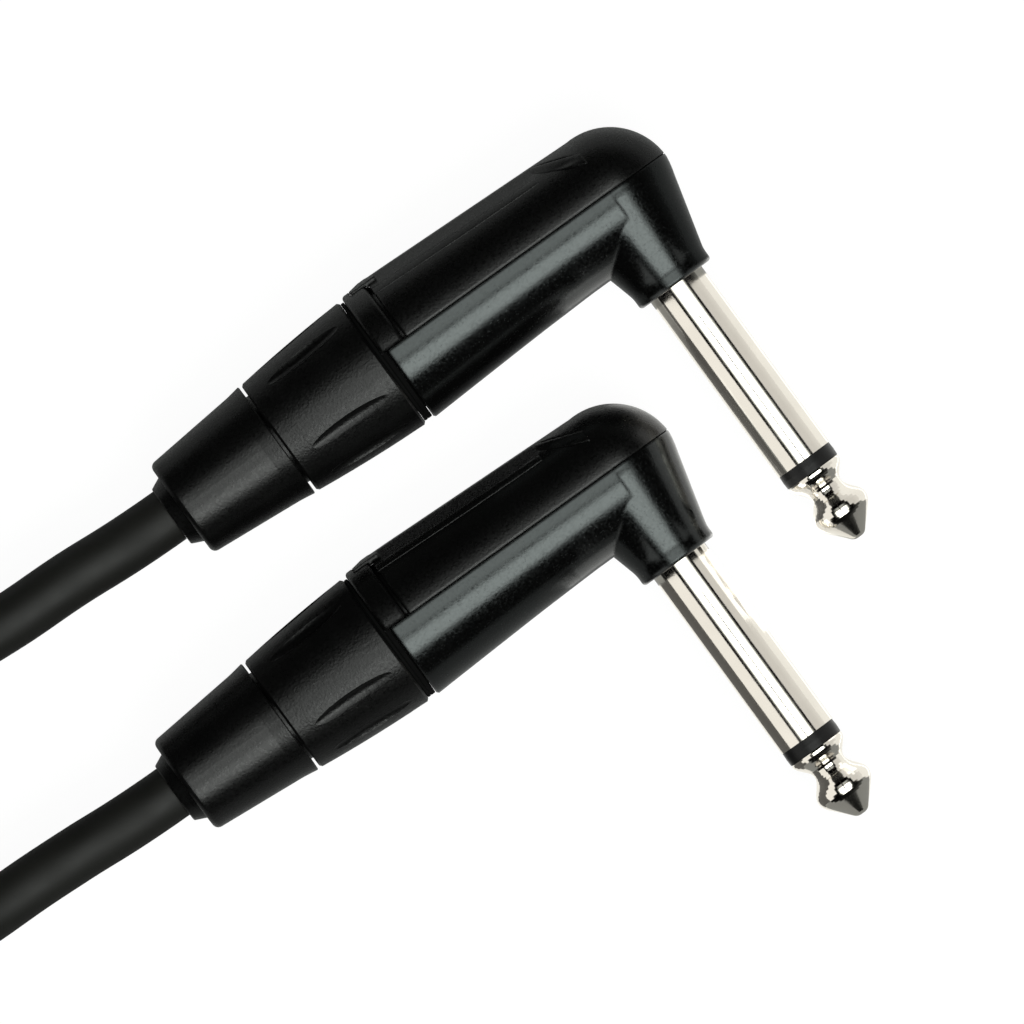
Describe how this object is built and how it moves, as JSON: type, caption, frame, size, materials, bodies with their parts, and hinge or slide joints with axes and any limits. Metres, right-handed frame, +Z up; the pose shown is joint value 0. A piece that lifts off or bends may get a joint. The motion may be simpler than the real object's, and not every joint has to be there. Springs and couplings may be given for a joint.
{
  "type": "instrument cable",
  "caption": "Coiled audio cable with a right-angle two-pole plug at each end: moulded elbow shell, lift-off cover, clamping nut, rubber boot and a straight pin.",
  "frame": {"origin": "middle of the box round the two plugs, on the surface that they lie on", "axes": "+X towards the plugs' round noses, away from the cable; -Y the way the pins point; +Z up, away from the surface"},
  "size_m": [0.2092, 0.0954, 0.0272],
  "materials": {
    "shell": "injection-moulded black plastic, polished",
    "cover": "injection-moulded black plastic, satin",
    "nut": "injection-moulded black plastic, finely eroded",
    "boot": "moulded black rubber, matte",
    "collet": "injection-moulded natural acetal",
    "contact": "turned brass, nickel-plated",
    "insulator": "moulded black insulator",
    "washer": "punched vulcanised fibre",
    "tag": "punched brass, tin-plated",
    "jacket": "extruded soft PVC, matte",
    "core": "extruded insulation over copper strands",
    "screen": "twisted bare copper wires",
    "solder": "set solder",
    "tie": "moulded black rubber strap"
  },
  "bodies": {
    "cable": {"housing_a": "shell", "collar_a": "cover", "collet_a": "collet", "barrel_a": "contact", "insulator_a": "insulator", "tip_a": "contact", "insulating_washer_a": "washer", "tip_tag_a": "tag", "ground_tag_a": "tag", "cable_end_a": "jacket", "core_a": "core", "screen_a": "screen", "solder_a": "solder", "housing_b": "shell", "collar_b": "cover", "collet_b": "collet", "barrel_b": "contact", "insulator_b": "insulator", "tip_b": "contact", "insulating_washer_b": "washer", "tip_tag_b": "tag", "ground_tag_b": "tag", "cable_end_b": "jacket", "core_b": "core", "screen_b": "screen", "solder_b": "solder", "cord_lead_a": "jacket", "cord_lead_b": "jacket", "cord_coil": "jacket", "coil_ties": "tie"},
    "cover_a": {"cover_a": "cover"},
    "boot_a": {"boot_a": "boot"},
    "nut_a": {"clamp_nut_a": "nut"},
    "cover_b": {"cover_b": "cover"},
    "boot_b": {"boot_b": "boot"},
    "nut_b": {"clamp_nut_b": "nut"}
  },
  "joints": [
    {"name": "cover_lift_a", "type": "slide", "parent": "cable", "child": "cover_a", "axis": [0, 1, 0], "range_m": [0, 0.006]},
    {"name": "boot_slide_a", "type": "slide", "parent": "cable", "child": "boot_a", "axis": [-1, 0, 0], "range_m": [0, 0.006]},
    {"name": "nut_turn_a", "type": "hinge", "parent": "boot_a", "child": "nut_a", "pos_m": [0, 0.02888, 0.00778], "axis": [-1, 0, 0], "range_deg": [0, 1440]},
    {"name": "cover_lift_b", "type": "slide", "parent": "cable", "child": "cover_b", "axis": [0, 1, 0], "range_m": [0, 0.006]},
    {"name": "boot_slide_b", "type": "slide", "parent": "cable", "child": "boot_b", "axis": [-1, 0, 0], "range_m": [0, 0.006]},
    {"name": "nut_turn_b", "type": "hinge", "parent": "boot_b", "child": "nut_b", "pos_m": [-0.0163, 0.00598, 0.00778], "axis": [-1, 0, 0], "range_deg": [0, 1440]}
  ],
  "couplings": [
    {"joint": "nut_turn_a", "follows": "boot_slide_a", "rad_per_m": 4188.8},
    {"joint": "nut_turn_b", "follows": "boot_slide_b", "rad_per_m": 4188.8}
  ]
}
